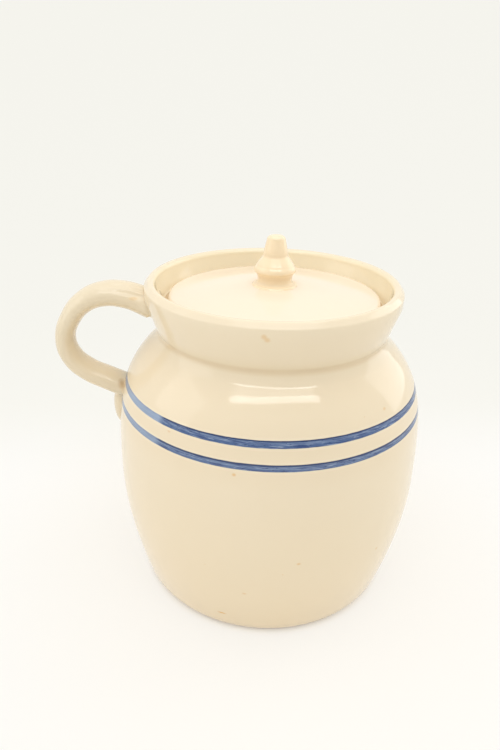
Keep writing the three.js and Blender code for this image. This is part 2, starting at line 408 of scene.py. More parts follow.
def lid_outline(shape):
    """The lid from the middle of its underside out to its edge and back over the low dome."""
    radius = (LID_HIGH.x - LID_LOW.x) / 2 - CLEARANCE
    low = LID_LOW.z
    crown = LID_HIGH.z - CLEARANCE
    underside = crown - shape.thickness
    shoulder = Vector((radius, low + shape.edge_height))
    rim = Vector((radius - shape.rim_width, low))
    fall = rim + step(-1.4, 1.6)
    dome_start = shoulder + step(-2.2, 0.1)
    return drawn(
        (0, underside),
        ((20 * MM, underside), fall + step(-4, 0.6), fall),
        rounded(fall, rim, (radius, low), 0.6 * MM),
        rounded(rim, (radius, low), shoulder, 0.9 * MM),
        (shoulder - step(0, 0.9), shoulder - step(0.5, 0), dome_start),
        (shoulder + step(-16, 1.7), (26 * MM, crown), (12 * MM, crown)),
        (0, crown),
        grain=LID_GRAIN,
    )


def knob_outline(shape):
    """The knob from its foot up: low foot, undercut neck, cone-shaped flange, crease and nub."""
    low = KNOB_LOW.z
    top = KNOB_HIGH.z - CLEARANCE
    neck = Vector((shape.neck_radius, low + 2.4 * MM))
    flange = Vector((shape.flange_radius, low + 7.2 * MM))
    crease = Vector((shape.nub_radius, low + 15.2 * MM))
    crease_top = crease + step(0, 0.9)
    crown = Vector((shape.top_radius, top - 2.4 * MM))
    # The slant at which the foot and the two rings of the turning tool catch the strip lamps
    lean = step(-0.56, 0.853)
    foot_lean = step(-0.52, 0.757)
    foot_edge = Vector((shape.foot_radius - 1.1 * MM, low - 0.4 * MM))
    foot_end = foot_edge + foot_lean
    foot_top = foot_end + step(-0.8, 0.2)
    lower_ring = flange + step(-0.52, 1.9)
    lower_end = lower_ring + lean
    upper_ring = lower_end + step(-0.32, 0.62)
    upper_end = upper_ring + lean
    cone_top = upper_end + step(-2.05, 2.7)
    return drawn(
        (0, low - 1.2 * MM),
        (shape.foot_radius, low - 1.0 * MM),
        (shape.foot_radius, low - 0.6 * MM),
        (foot_edge + step(0.6, -0.1), foot_edge + step(0.2, -0.1), foot_edge),
        (foot_edge + foot_lean / 3, foot_edge + foot_lean * 2 / 3, foot_end),
        (foot_end + foot_lean / 4, foot_top + step(0.3, 0), foot_top),
        (foot_top + step(-0.7, 0.12), neck - step(0, 1.2), neck),
        (neck + step(0, 1.4), neck + step(0.5, 2.8), flange - step(0.6, 0.8)),
        (flange - step(0.25, 0.5), flange - step(0, 0.35), flange),
        (flange + step(0, 0.7), lower_ring + step(0.33, -0.5), lower_ring),
        (lower_ring + lean / 3, lower_ring + lean * 2 / 3, lower_end),
        (lower_end + step(-0.08, 0.2), upper_ring - step(-0.08, 0.2), upper_ring),
        (upper_ring + lean / 3, upper_ring + lean * 2 / 3, upper_end),
        (upper_end + lean / 2, cone_top + step(0.62, -0.79), cone_top),
        (cone_top + step(-0.31, 0.4), crease - step(0, 0.2), crease_top),
        (crease + step(-0.05, 2.4), crown + step(0.55, -2.6), crown),
        (crown + step(-0.15, 1.5), (3.2 * MM, top), (0.8 * MM, top)),
        (0, top),
        grain=KNOB_GRAIN,
    )


def centre_on_lid(piece):
    """Sets a piece turned about the crock's axis over the lid's own middle, with its place in its mesh."""
    take_up(piece)
    middle = (LID_LOW + LID_HIGH) / 2
    bpy.ops.transform.translate(value=(middle.x, middle.y, 0))
    bpy.ops.object.transform_apply(location=True, rotation=True, scale=True)


class CROCK_OT_turn_lid(bpy.types.Operator):
    """Turns the low domed lid with its rounded edge and hollowed underside"""

    bl_idname = "crock.turn_lid"
    bl_label = "Turn Lid"
    bl_options = {"REGISTER", "UNDO"}

    def execute(self, context):
        piece = throw("domed_lid", lid_outline(context.scene.crock_lid), LID_TURNS)
        let_wander(piece, depth=0.12 * MM, spread=26 * MM, above=LID_LOW.z + MM)
        centre_on_lid(piece)
        finish_surface(piece)
        piece.data.materials.append(glazed_lid(context.scene))
        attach(piece, "lid")
        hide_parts("lid")
        return {"FINISHED"}


class CROCK_OT_turn_knob(bpy.types.Operator):
    """Turns the knob that lifts the lid"""

    bl_idname = "crock.turn_knob"
    bl_label = "Turn Knob"
    bl_options = {"REGISTER", "UNDO"}

    def execute(self, context):
        piece = throw("turned_knob", knob_outline(context.scene.crock_lid), KNOB_TURNS)
        let_wander(piece, depth=0.03 * MM, spread=14 * MM, above=KNOB_LOW.z + MM)
        centre_on_lid(piece)
        finish_surface(piece)
        piece.data.materials.append(glazed_knob(context.scene))
        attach(piece, "lid")
        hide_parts("lid_knob")
        return {"FINISHED"}


# The middle of the strap in the plane of the handle, from inside the collar's clay round to inside the
# shoulder's, as distance from the pot's axis, height, and the strap's thickness there, in millimetres
HANDLE_LINE = [
    (62, 157.1, 14.0),
    (66, 158.6, 13.8),
    (76, 161.9, 13.4),
    (86, 162.2, 12.4),
    (95.5, 158.5, 11.2),
    (103.4, 149.8, 10.4),
    (107.2, 138.6, 10.0),
    (104.6, 128.2, 10.2),
    (97, 120.6, 10.8),
    (88, 115.9, 11.4),
    (79, 111.6, 11.8),
    (76.5, 110.4, 11.9),
]


def handle_path():
    """A curve through the handle's line, for the strap to be bent along."""
    path = added("handle_path", bpy.ops.curve.primitive_bezier_curve_add)
    spline = path.data.splines[0]
    spline.bezier_points.add(len(HANDLE_LINE) - len(spline.bezier_points))
    for knot, (distance, height, _) in zip(spline.bezier_points, HANDLE_LINE):
        knot.co = Vector((-distance, 0, height)) * MM
        knot.handle_left_type = knot.handle_right_type = "AUTO"
    path.data.resolution_u = 24
    path.data.twist_mode = "MINIMUM"
    return path


def strap_thickness(share):
    """Thickness of the strap at a share of its length."""
    along = [0]
    for (x, z, _), (next_x, next_z, _) in zip(HANDLE_LINE, HANDLE_LINE[1:]):
        along.append(along[-1] + math.hypot(next_x - x, next_z - z))
    place = share * along[-1]
    for i, (low, high) in enumerate(zip(along, along[1:])):
        if place <= high:
            mix = (place - low) / (high - low)
            return (HANDLE_LINE[i][2] * (1 - mix) + HANDLE_LINE[i + 1][2] * mix) * MM
    return HANDLE_LINE[-1][2] * MM


def flare(from_root):
    """How the strap widens and thickens towards its smeared root, as factors along X, Y and Z."""
    buried = 3 * MM
    reach = 3 * MM
    widening, thickening = 0.3, 0.06
    share = math.exp(-max(from_root - buried, 0) / reach)
    return Vector((1, 1 + widening * share, 1 + thickening * share))


def pull_strap(shape):
    """Pulls an oval bar along X, ring by ring, and bends it along the handle's line."""
    ring_spacing = 1.2 * MM
    path = handle_path()
    whole = path.data.splines[0].calc_length()
    rings = round(whole / ring_spacing)
    stretch = whole / rings
    size = flare(0) * Vector((1, shape.strap_width, strap_thickness(0)))
    strap = added(
        "pulled_handle",
        bpy.ops.mesh.primitive_circle_add,
        vertices=48,
        radius=0.5,
        fill_type="NGON",
        rotation=(0, math.pi / 2, 0),
    )
    bpy.ops.transform.resize(value=(1, size.y, size.z))
    bpy.ops.object.transform_apply(location=True, rotation=True, scale=True)
    bpy.ops.object.mode_set(mode="EDIT")
    bpy.ops.mesh.select_all(action="SELECT")
    for ring in range(1, rings + 1):
        pulled = flare(ring * stretch) * Vector((1, shape.strap_width, strap_thickness(ring / rings)))
        bpy.ops.mesh.extrude_region_move(TRANSFORM_OT_translate={"value": (stretch, 0, 0)})
        change = (1, pulled.y / size.y, pulled.z / size.z)
        bpy.ops.transform.resize(value=change, center_override=(ring * stretch, 0, 0))
        size = pulled
    bpy.ops.mesh.select_all(action="SELECT")
    bpy.ops.mesh.normals_make_consistent(inside=False)
    bpy.ops.object.mode_set(mode="OBJECT")
    apply_modifier(strap, "CURVE", object=path, deform_axis="POS_X")
    bpy.data.objects.remove(path)
    return strap


def press_pull_marks(strap, shape):
    """Presses in the marks of the pulling fingers: two furrows along the strap's top that run out."""
    root, run_out = -68 * MM, -86 * MM
    underside = 154 * MM
    furrow_width = 1.0 * MM
    furrows = (-4.9 * MM, -7.9 * MM)
    marks = strap.vertex_groups.new(name="pull_marks")
    for vertex in strap.data.vertices:
        fade = (vertex.co.x - run_out) / (root - run_out)
        if vertex.normal.z > 0.1 and vertex.co.z > underside and fade > 0:
            across = max(math.exp(-(((vertex.co.y - middle) / furrow_width) ** 2)) for middle in furrows)
            marks.add([vertex.index], min(fade, 1) * across, "REPLACE")
    apply_modifier(strap, "DISPLACE", strength=-shape.pull_depth, mid_level=0.0, vertex_group=marks.name)
    strap.vertex_groups.clear()


def pressed_ball(centre, size, lean=0):
    """A ball pressed to half-lengths in millimetres and leant about Y by degrees, as a pad or a cutter."""
    ball = added("pressed_ball", bpy.ops.mesh.primitive_uv_sphere_add, segments=48, ring_count=32, radius=1)
    ball.scale = Vector(size) * MM
    ball.rotation_euler = (0, math.radians(lean), 0)
    ball.location = Vector(centre) * MM
    bpy.ops.object.transform_apply(location=True, rotation=True, scale=True)
    return ball


def carve(piece, cutter):
    """Takes the cutter's shape out of the piece."""
    apply_modifier(piece, "BOOLEAN", operation="DIFFERENCE", solver="EXACT", object=cutter)
    bpy.data.objects.remove(cutter)


# The crevice where the strap's lower end stands off the shoulder, at its front edge, in millimetres
CREVICE = Vector((-79.0, -9.0, 118.0))


class CROCK_OT_pull_handle(bpy.types.Operator):
    """Pulls the strap handle, lutes it on and smears its ends into the pot"""

    bl_idname = "crock.pull_handle"
    bl_label = "Pull Handle"
    bl_options = {"REGISTER", "UNDO"}

    def execute(self, context):
        shape = context.scene.crock_handle
        strap = pull_strap(shape)
        press_pull_marks(strap, shape)
        carve(strap, pressed_ball(CREVICE, (0.9, 1.2, 4.4), lean=22))
        root_pad = pressed_ball((-61, 0, 157.4), (4.4, 12.4, 7.4))
        smeared_tail = pressed_ball((-79.9, 0, 100.5), (5.2, 8.2, 12))
        nothing_selected()
        for part in (root_pad, smeared_tail, strap):
            part.select_set(True)
        context.view_layer.objects.active = strap
        bpy.ops.object.join()
        apply_modifier(strap, "REMESH", mode="VOXEL", voxel_size=0.5 * MM)
        apply_modifier(strap, "SMOOTH", factor=0.5, iterations=4)
        finish_surface(strap, 80)
        strap.data.materials.append(glazed_handle(context.scene))
        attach(strap, "crock")
        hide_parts("handle")
        return {"FINISHED"}


def skin_of_pot(name, low, high):
    inner_radius = 70 * MM
    take_up(bpy.data.objects["thrown_pot"])
    bpy.ops.object.duplicate()
    skin = bpy.context.object
    skin.name = name
    skin.data.materials.clear()
    for mark in [*skin.keys()]:
        del skin[mark]

    def elsewhere(face):
        """Whether a face lies inside the pot, or above or below the skin."""
        inside = math.hypot(face.center.x, face.center.y) < inner_radius
        return inside or not low < face.center.z < high

    select_where(skin, "FACE", elsewhere)
    bpy.ops.mesh.delete(type="FACE")
    return skin


class CROCK_OT_brush_bands(bpy.types.Operator):
    """Brushes the two blue slip bands round the shoulder"""

    bl_idname = "crock.brush_bands"
    bl_label = "Brush Bands"
    bl_options = {"REGISTER", "UNDO"}

    def execute(self, context):
        margin = 1.2 * MM
        slip_thickness = 0.03 * MM
        backing = 0.25 * MM
        bands = (
            ("upper_slip_band", "upper_blue_band", UPPER_BAND_LOW.z, UPPER_BAND_HIGH.z, upper_slip),
            ("lower_slip_band", "lower_blue_band", LOWER_BAND_LOW.z, LOWER_BAND_HIGH.z, lower_slip),
        )
        for name, node_name, low, high, slip in bands:
            band = skin_of_pot(name, low - 4 * margin, high + 4 * margin)
            for height, below in ((low - margin, True), (high + margin, False)):
                bpy.ops.mesh.select_all(action="SELECT")
                bpy.ops.mesh.bisect(
                    plane_co=(0, 0, height), plane_no=(0, 0, 1), clear_inner=below, clear_outer=not below
                )
            bpy.ops.object.mode_set(mode="OBJECT")
            apply_modifier(band, "DISPLACE", strength=slip_thickness, mid_level=0.0)
            apply_modifier(band, "SOLIDIFY", thickness=backing, offset=-1)
            finish_surface(band, 60)
            band.data.materials.append(slip(context.scene, low, high))
            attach(band, "crock")
            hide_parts(node_name)
        return {"FINISHED"}


def node(tree, kind, inputs=(), output=0, **settings):
    """Adds one shader node with its settings, values and links, and gives one of its outputs."""
    made = tree.nodes.new("ShaderNode" + kind)
    for name, value in settings.items():
        setattr(made, name, value)
    for socket, value in dict(inputs).items():
        if isinstance(value, bpy.types.NodeSocket):
            tree.links.new(value, made.inputs[socket])
        else:
            made.inputs[socket].default_value = value
    return made.outputs[output] if made.outputs else made


def opaque(rgb):
    """A colour with the fourth value that colour sockets take."""
    return (*rgb, 1)


def times(rgb, *factors):
    """A colour with each of its three values multiplied by a factor, and none of them over 1."""
    return opaque(min(value * factor, 1) for value, factor in zip(rgb, factors))


def near(tree, place, centre, reach, strength):
    """A share that has its strength at a centre and falls smoothly to 0 at its reach along each axis."""
    core = 0.25
    away = node(tree, "VectorMath", {0: place, 1: centre}, operation="SUBTRACT")
    scaled = node(tree, "VectorMath", {0: away, 1: reach}, operation="DIVIDE")
    distance = node(tree, "VectorMath", {0: scaled}, "Value", operation="LENGTH")
    ends = {"Value": distance, "From Min": core, "From Max": 1, "To Min": strength, "To Max": 0}
    return node(tree, "MapRange", ends, **EASED)


def near_height(tree, height, middle, flat, reach, strength):
    """A share that has its strength near a height and falls smoothly to 0 between two distances from it."""
    away = node(tree, "Math", {0: height, 1: middle}, operation="SUBTRACT")
    away = node(tree, "Math", {0: away}, operation="ABSOLUTE")
    ends = {"Value": away, "From Min": flat, "From Max": reach, "To Min": strength, "To Max": 0}
    return node(tree, "MapRange", ends, **EASED)


def cream_clay(tree, place, base, glazes):
    """Cream clay under clear glaze: broad soft clouds, a faint mottle and sparse iron specks."""
    cloud_size = 45 * MM
    mottle_size = 4 * MM
    speck_spacing = 9 * MM
    speck_strength = 0.22
    clouds = node(tree, "TexNoise", {"Vector": place, "Scale": 1 / cloud_size, "Detail": 2})
    mottle = node(tree, "TexNoise", {"Vector": place, "Scale": 1 / mottle_size, "Detail": 4})
    warm = times(base, 1.0, 0.988, 0.97)
    pale = times(base, 1.003, 1.007, 1.014)
    clay = node(tree, "Mix", {SHARE: clouds, FIRST: pale, SECOND: warm}, **COLOURS)
    faint = node(tree, "MapRange", {"Value": mottle, "From Min": 0.5, "From Max": 0.8, "To Max": 0.5})
    clay = node(tree, "Mix", {SHARE: faint, FIRST: clay, SECOND: warm}, **COLOURS)
    cells = {"Vector": place, "Scale": 1 / speck_spacing}
    distance = node(tree, "TexVoronoi", cells, "Distance")
    chance = node(tree, "SeparateColor", {0: node(tree, "TexVoronoi", cells, "Color")})
    # Three cells in ten have a speck, with a radius of up to a twentieth of the spacing
    size = node(tree, "MapRange", {"Value": chance, "From Min": 0.7, "From Max": 1, "To Max": 0.05})
    speck = node(tree, "Math", {0: distance, 1: size}, operation="LESS_THAN")
    share = node(tree, "Math", {0: speck, 1: speck_strength}, operation="MULTIPLY")
    return node(tree, "Mix", {SHARE: share, FIRST: clay, SECOND: opaque(glazes.iron)}, **COLOURS)


def clear_glaze(tree, place, colour_below, bare=None):
    """Clear glaze fired glossy: faint orange peel and soft throwing lines bend its reflections a little."""
    peel_size = 2.4 * MM
    throwing_line = 3.5 * MM
    relief_depth = 0.012 * MM
    pool_size = 14 * MM
    gloss = 0.065
    bare_roughness = 0.75
    peel = node(tree, "TexNoise", {"Vector": place, "Scale": 1 / peel_size, "Detail": 1})
    # Drawn out level, so that the throwing lines run round the pot
    level = node(tree, "Mapping", {"Vector": place, "Scale": (0.03, 0.03, 1)})
    lines = node(tree, "TexNoise", {"Vector": level, "Scale": 1 / throwing_line, "Detail": 2})
    relief = node(tree, "Math", {0: peel, 1: lines}, operation="ADD")
    bump = node(tree, "Bump", {"Strength": 0.4, "Distance": relief_depth, "Height": relief})
    pool = node(tree, "TexNoise", {"Vector": place, "Scale": 1 / pool_size, "Detail": 1})
    ends = {"Value": pool, "From Min": 0.3, "From Max": 0.7, "To Min": gloss * 0.8, "To Max": gloss * 1.25}
    roughness = node(tree, "MapRange", ends)
    if bare:
        roughness = node(tree, "MapRange", {"Value": bare, "To Min": roughness, "To Max": bare_roughness})
    glass = {"Base Color": colour_below, "Roughness": roughness, "IOR": 1.52, "Normal": bump}
    return node(tree, "BsdfPrincipled", glass)


def new_material(name):
    """An empty material: its tree and its Object coordinates."""
    material = bpy.data.materials.new(name)
    material.use_nodes = True
    tree = material.node_tree
    tree.nodes.clear()
    return material, tree, node(tree, "TexCoord", output="Object")


def wall_point(pot, height, turn):
    """The point of the outer wall at a height, turned by degrees from the handle towards the front."""
    wall = outer_wall(pot)
    above = next(i for i, point in enumerate(wall) if point.y > height)
    low, high = wall[above - 1], wall[above]
    radius = low.x + (high.x - low.x) * (height - low.y) / (high.y - low.y)
    angle = math.radians(turn)
    return Vector((-radius * math.cos(angle), -radius * math.sin(angle), height))


# Iron marks of this crock: height in millimetres, turn in degrees from the handle towards the front,
# half-lengths round and up the wall in millimetres, and how strongly each shows
WALL_MARKS = [
    (13, 67.5, 3.2, 0.9, 0.8),
    (104, 73, 1.4, 1.1, 0.6),
    (56, 95, 1.5, 1.1, 0.45),
    (34, 77, 1.6, 1.0, 0.35),
    (125, 129, 1.5, 1.0, 0.4),
    (115.5, 48, 1.3, 1.0, 0.35),
    (48, 128, 1.4, 1.1, 0.4),
]
# Marks that the wall's outline doesn't reach, a slanting one on the collar and the tan clay round the
# crevice, darkened there as painted shade: centre and half-lengths in millimetres, and how strongly each
# shows
OTHER_MARKS = [
    ((-11, -64.3, 163.7), (1.9, 1.9, 1.7), 0.4),
    ((-9.6, -64.5, 162.3), (1.9, 1.9, 1.7), 0.4),
    # Painted shade, in iron tan, round the crevice
    (CREVICE, (3.4, 5, 6), 0.6),
]
# The handle's crevice, tan bare clay darkened as painted shade, and the short iron mark at its root, in the
# same way
HANDLE_CREVICE_AND_SHADE = (CREVICE, (3, 5, 7), 0.85)
ROOT_MARK = ((-70.3, -8.5, 162.2), (3, 1.6, 1.2), 0.35)


def marked(tree, place, mark):
    """The share of a mark that is given in millimetres."""
    centre, reach, strength = mark
    return near(tree, place, Vector(centre) * MM, Vector(reach) * MM, strength)


def glazed_pot(scene):
    """Stoneware dipped in clear glaze: glossy cream, tan where it pools and as painted shade in the neck's
    groove, paler inside the collar as painted light.
    """
    material, tree, place = new_material("glazed_stoneware")
    pot, glazes = scene.crock_pot, scene.crock_glazes
    height = node(tree, "SeparateXYZ", {0: place}, "Z")
    plan = node(tree, "VectorMath", {0: place, 1: (1, 1, 0)}, operation="MULTIPLY")
    radius = node(tree, "VectorMath", {0: plan}, "Value", operation="LENGTH")
    layers = [(marked(tree, place, mark), opaque(glazes.iron)) for mark in OTHER_MARKS]
    for up, turn, wide, high, strength in WALL_MARKS:
        reach = Vector((wide, wide, high)) * MM
        share = near(tree, place, wall_point(pot, up * MM, turn), reach, strength)
        layers.append((share, opaque(glazes.iron)))
    bare = bare_pot(tree, height, radius, pot)
    layers += [
        (pooled_glaze_and_shade_on_pot(tree, height, pot), opaque(glazes.pooled_glaze_and_shade)),
        # Painted light: the inside of the collar made paler
        (painted_light_inside_collar(tree, height, radius, pot), times(glazes.body, 1.08, 1.1, 1.06)),
        (bare, opaque(glazes.bare)),
    ]
    clay = cream_clay(tree, place, glazes.body, glazes)
    for share, tint in layers:
        clay = node(tree, "Mix", {SHARE: share, FIRST: clay, SECOND: tint}, **COLOURS)
    node(tree, "OutputMaterial", {0: clear_glaze(tree, place, clay, bare)})
    return material


def pooled_glaze_and_shade_on_pot(tree, height, pot):
    """Tan of thick glaze: in the neck's groove, where it is also painted shade, and a little all over the
    shoulder.
    """
    shoulder = 120 * MM
    # In the groove the tan is thick glaze and painted shade
    in_groove = near_height(tree, height, pot.neck_height, 0.3 * MM, 2.6 * MM, 0.4)
    on_shoulder = near_height(tree, height, shoulder, 14 * MM, 26 * MM, 0.09)
    return node(tree, "Math", {0: in_groove, 1: on_shoulder}, operation="MAXIMUM")


def painted_light_inside_collar(tree, height, radius, pot):
    """The inside of the collar above the ledge, made paler as painted light."""
    full_light_radius = pot.lip_radius - 2.6 * MM
    no_light_radius = pot.lip_radius - 1.2 * MM
    ends = {"Value": radius, "From Min": full_light_radius, "From Max": no_light_radius, "To Min": 1, "To Max": 0}
    inside = node(tree, "MapRange", ends)
    above = node(tree, "Math", {0: height, 1: pot.ledge_height}, operation="GREATER_THAN")
    return node(tree, "Math", {0: inside, 1: above}, operation="MULTIPLY")


def bare_pot(tree, height, radius, pot):
    """The pot's unglazed places, wiped before firing: under the foot, and the ledge under the lid."""
    bare_top, glaze_start = 0.5 * MM, 1.2 * MM
    ledge_margin = 0.5 * MM
    ends = {"Value": height, "From Min": bare_top, "From Max": glaze_start, "To Min": 1, "To Max": 0}
    foot = node(tree, "MapRange", ends)
    within = node(tree, "Math", {0: radius, 1: pot.seat_radius}, operation="LESS_THAN")
    level = node(tree, "Math", {0: height, 1: pot.ledge_height, 2: ledge_margin}, operation="COMPARE")
    ledge = node(tree, "Math", {0: within, 1: level}, operation="MULTIPLY")
    return node(tree, "Math", {0: foot, 1: ledge}, operation="MAXIMUM")


def glazed_handle(scene):
    """The body's clay, pulled and luted on, a little darker as painted shade; tan bare clay with painted
    shade shows in the crevice at its lower end.
    """
    material, tree, place = new_material("glazed_stoneware_handle")
    glazes = scene.crock_glazes
    # The handle's darker glaze colour is painted shade
    clay = cream_clay(tree, place, glazes.handle, glazes)
    # Painted shade with bare clay in the crevice
    crevice = marked(tree, place, HANDLE_CREVICE_AND_SHADE)
    for share, tint in ((crevice, glazes.crevice_clay_and_shade), (marked(tree, place, ROOT_MARK), glazes.iron)):
        clay = node(tree, "Mix", {SHARE: share, FIRST: clay, SECOND: opaque(tint)}, **COLOURS)
    node(tree, "OutputMaterial", {0: clear_glaze(tree, place, clay, crevice)})
    return material


def glazed_lid(scene):
    """The lid's clay, paler, with tan of thick glaze and painted shade round the knob, and the rim wiped
    bare where it rests.
    """
    material, tree, place = new_material("glazed_stoneware_lid")
    glazes = scene.crock_glazes
    clay = cream_clay(tree, place, glazes.lid, glazes)
    height = node(tree, "SeparateXYZ", {0: place}, "Z")
    bare_top, glaze_start = LID_LOW.z + 0.3 * MM, LID_LOW.z + 0.9 * MM
    ends = {"Value": height, "From Min": bare_top, "From Max": glaze_start, "To Min": 1, "To Max": 0}
    bare = node(tree, "MapRange", ends)
    middle = Vector(((LID_LOW.x + LID_HIGH.x) / 2, 0, LID_HIGH.z))
    # A ring of thick-glaze tan and painted shade round the knob's foot
    pool_shade_reach = 16 * MM
    pool = near(tree, place, middle, (pool_shade_reach, pool_shade_reach, pool_shade_reach), 0.14)
    for share, tint in ((bare, glazes.bare), (pool, glazes.pooled_glaze_and_shade)):
        clay = node(tree, "Mix", {SHARE: share, FIRST: clay, SECOND: opaque(tint)}, **COLOURS)
    node(tree, "OutputMaterial", {0: clear_glaze(tree, place, clay, bare)})
    return material


# Thick glaze and painted shade in the knob's undercut and its crease: height above the foot and
# reach in millimetres, and how strongly each shows
KNOB_POOLS_AND_SHADE = [(4.4, 2.2, 0.22), (15.0, 1.4, 0.1)]


def glazed_knob(scene):
    """The knob's clay, warmer under the clear glaze, tan where the glaze lies thick and as painted shade in
    its undercut and crease.
    """
    material, tree, place = new_material("glazed_stoneware_knob")
    glazes = scene.crock_glazes
    clay = cream_clay(tree, place, glazes.knob, glazes)
    height = node(tree, "SeparateXYZ", {0: place}, "Z")
    for above_foot, reach, strength in KNOB_POOLS_AND_SHADE:
        pooled_glaze_and_shade = near_height(tree, height, KNOB_LOW.z + above_foot * MM, 0, reach * MM, strength)
        clay = node(tree, "Mix", {SHARE: pooled_glaze_and_shade, FIRST: clay, SECOND: opaque(glazes.pooled_glaze_and_shade)}, **COLOURS)
    node(tree, "OutputMaterial", {0: clear_glaze(tree, place, clay)})
    return material


def upper_slip(scene, low, high):
    """The upper band: full blue with a fine dark line along its top, where the brush pushed up the slip."""
    return brushed_slip(scene, "upper_slip", low, high, edge=0.83, thinness=0.0, pale=0.75)


def lower_slip(scene, low, high):
    """The lower band: brushed thinner and greyer, with a broader dark line along its top."""
    return brushed_slip(scene, "lower_slip", low, high, edge=0.76, thinness=0.08, pale=0.55)


def brushed_slip(scene, name, low, high, edge, thinness, pale):
    """Cobalt slip brushed on the turning pot under the glaze, streaked along the brush's way.

    The edge is the share of the band's height where the dark line along its top starts. The thinness
    is the least share of thin slip, and pale the greatest share of it where the brush ran dry.
    """
    thinner_above = 0.22
    material, tree, place = new_material("brushed_" + name)
    glazes = scene.crock_glazes
    thick, thin, line = (opaque(c) for c in (glazes.slip_thick, glazes.slip_thin, glazes.slip_edge))
    turn, height, unrolled = unrolled_wall(tree, place)
    up = node(tree, "MapRange", {"Value": height, "From Min": low, "From Max": high}, clamp=False)
    # How long and how fine each kind of streak is in millimetres, the noise where it starts and where
    # it is full, how strongly it shows, and its colour
    streaks = (
        (6, 0.42, 0.53, 0.64, 0.65, thin),
        (9, 0.5, 0.48, 0.62, 0.8, thick),
        (2.4, 0.7, 0.6, 0.68, 0.75, line),
    )
    ends = {"Value": up, "From Min": 0.25, "From Max": 0.6}
    ends |= {"To Min": thinness, "To Max": thinness + thinner_above}
    layers = [(node(tree, "MapRange", ends, **EASED), thin)]
    for long, fine, starts, full, most, tint in streaks:
        noise = streak_noise(tree, unrolled, long * MM, fine * MM)
        ends = {"Value": noise, "From Min": starts, "From Max": full, "To Max": most}
        layers.append((node(tree, "MapRange", ends, **EASED), tint))
    dry = node(tree, "Math", {0: worn_stretch(tree, turn), 1: pale}, operation="MULTIPLY")
    layers += [(dry, thin), (top_line(tree, up, edge, dry), line)]
    blue = opaque(glazes.slip)
    for share, tint in layers:
        blue = node(tree, "Mix", {SHARE: share, FIRST: blue, SECOND: tint}, **COLOURS)
    cream = cream_clay(tree, place, glazes.body, glazes)
    covered = {SHARE: band_cover(tree, unrolled, up), FIRST: cream, SECOND: blue}
    covered = node(tree, "Mix", covered, **COLOURS)
    node(tree, "OutputMaterial", {0: clear_glaze(tree, place, covered)})
    return material


def top_line(tree, up, edge, dry):
    """The dark line of slip pushed up along a band's top, which fades where the brush ran dry."""
    strongest, faintest = 0.9, 0.1
    ends = {"Value": dry, "From Max": 0.5, "To Min": strongest, "To Max": faintest}
    wet = node(tree, "MapRange", ends, **EASED)
    ends = {"Value": up, "From Min": edge - 0.06, "From Max": edge + 0.03}
    return node(tree, "Math", {0: node(tree, "MapRange", ends, **EASED), 1: wet}, operation="MULTIPLY")


def unrolled_wall(tree, place):
    """The turn from the handle towards the front, the height, and both as one flat place on the wall."""
    about = node(tree, "Mapping", {"Vector": place, "Rotation": (0, 0, math.pi)})
    across = node(tree, "SeparateXYZ", {0: about}, "X")
    ahead = node(tree, "SeparateXYZ", {0: about}, "Y")
    height = node(tree, "SeparateXYZ", {0: place}, "Z")
    turn = node(tree, "Math", {0: ahead, 1: across}, operation="ARCTAN2")
    return turn, height, node(tree, "CombineXYZ", {"X": turn, "Y": height})


def streak_noise(tree, unrolled, long, fine):
    """Noise on the unrolled wall, drawn out along the brush's way: long round the pot, fine up the wall."""
    shoulder_radius = 77 * MM
    slant = math.radians(2.5)
    around = (shoulder_radius, 1, 1)
    arc = node(tree, "Mapping", {"Vector": unrolled, "Scale": around, "Rotation": (0, 0, slant)})
    drawn_out = node(tree, "Mapping", {"Vector": arc, "Scale": (1 / long, 1 / fine, 1)})
    return node(tree, "TexNoise", {"Vector": drawn_out, "Scale": 1, "Detail": 3})


def band_cover(tree, unrolled, up):
    """1 on the band and 0 off it, with both its edges a little ragged and soft."""
    raggedness = 0.012
    noise = streak_noise(tree, unrolled, 5 * MM, 2 * MM)
    ends = {"Value": noise, "From Min": 0.3, "From Max": 0.7, "To Min": -raggedness, "To Max": raggedness}
    ragged = node(tree, "MapRange", ends, **EASED)
    level = node(tree, "Math", {0: up, 1: ragged}, operation="ADD")
    above_foot = node(tree, "MapRange", {"Value": level, "From Min": -0.04, "From Max": 0.04}, **EASED)
    ends = {"Value": level, "From Min": 0.98, "From Max": 1.04, "To Min": 1, "To Max": 0}
    below_top = node(tree, "MapRange", ends, **EASED)
    return node(tree, "Math", {0: above_foot, 1: below_top}, operation="MULTIPLY")


def worn_stretch(tree, turn):
    """How thin the slip has run: it tires towards the handle, up to where the brush was first set down."""
    fresh, tired = math.radians(-75), math.radians(5)
    set_down = math.radians(42)
    overlap = 0.05
    tiring = node(tree, "MapRange", {"Value": turn, "From Min": fresh, "From Max": tired})
    ends = {"Value": turn, "From Min": set_down, "From Max": set_down + overlap, "To Min": 1, "To Max": 0}
    before = node(tree, "MapRange", ends)
    return node(tree, "Math", {0: tiring, 1: before}, operation="MULTIPLY")


# The camera that took the picture, as found from the crock's outline: its place, how far it looked
# down, how far it was turned and rolled, in degrees, and its lens for a 36 mm sensor along the height
CAMERA_PLACE = Vector((-36.3, -295.6, 255.4)) * MM
CAMERA_DOWN = 25.2
CAMERA_TURN = -4.9
CAMERA_ROLL = 1.4
CAMERA_LENS = 28.8
SENSOR = 36


